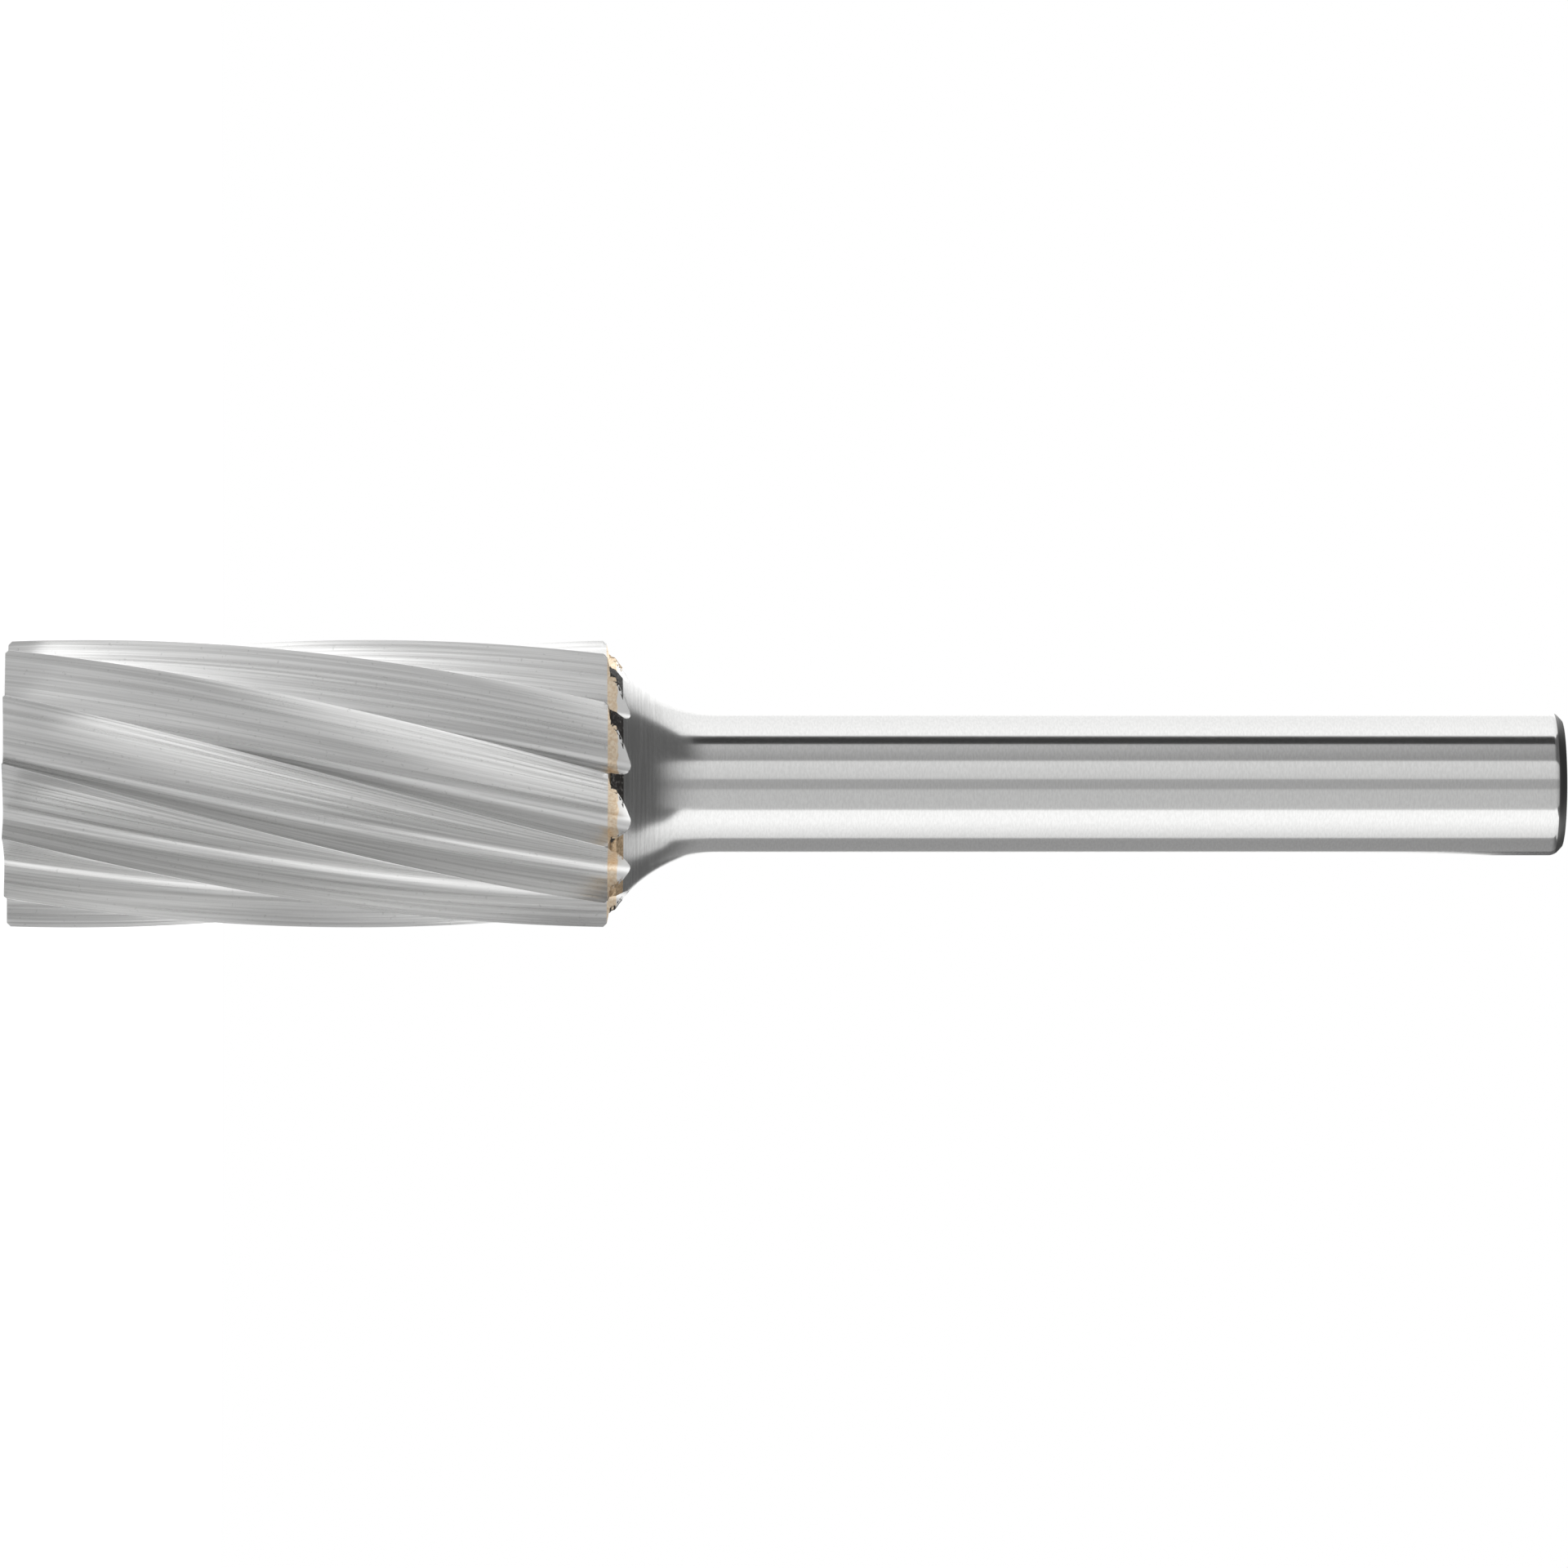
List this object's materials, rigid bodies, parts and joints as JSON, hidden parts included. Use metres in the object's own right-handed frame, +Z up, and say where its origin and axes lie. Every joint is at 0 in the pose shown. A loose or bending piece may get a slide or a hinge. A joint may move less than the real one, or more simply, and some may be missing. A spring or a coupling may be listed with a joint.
{
  "type": "carbide burr",
  "caption": "Cylindrical rotary burr: carbide head with right-hand helical flutes and a plain flat end, brazed to a round straight shank through a hollow neck.",
  "frame": {"origin": "centre of the flat end face of the cutting head, on which the tool stands", "axes": "+Z up the tool's axis from the head's end to the free end of the shank; +X and +Y across it"},
  "size_m": [0.012, 0.012, 0.065],
  "materials": {
    "carbide": "tungsten carbide with fine grinding lines along the flutes",
    "braze": "ground where the flutes cross it, with burnt flux between them",
    "steel": "bright, ground on the shank and finely turned in the neck"
  },
  "bodies": {
    "root": {"carbide_head": "carbide", "braze_joint": "braze", "steel_shank": "steel"}
  },
  "joints": []
}
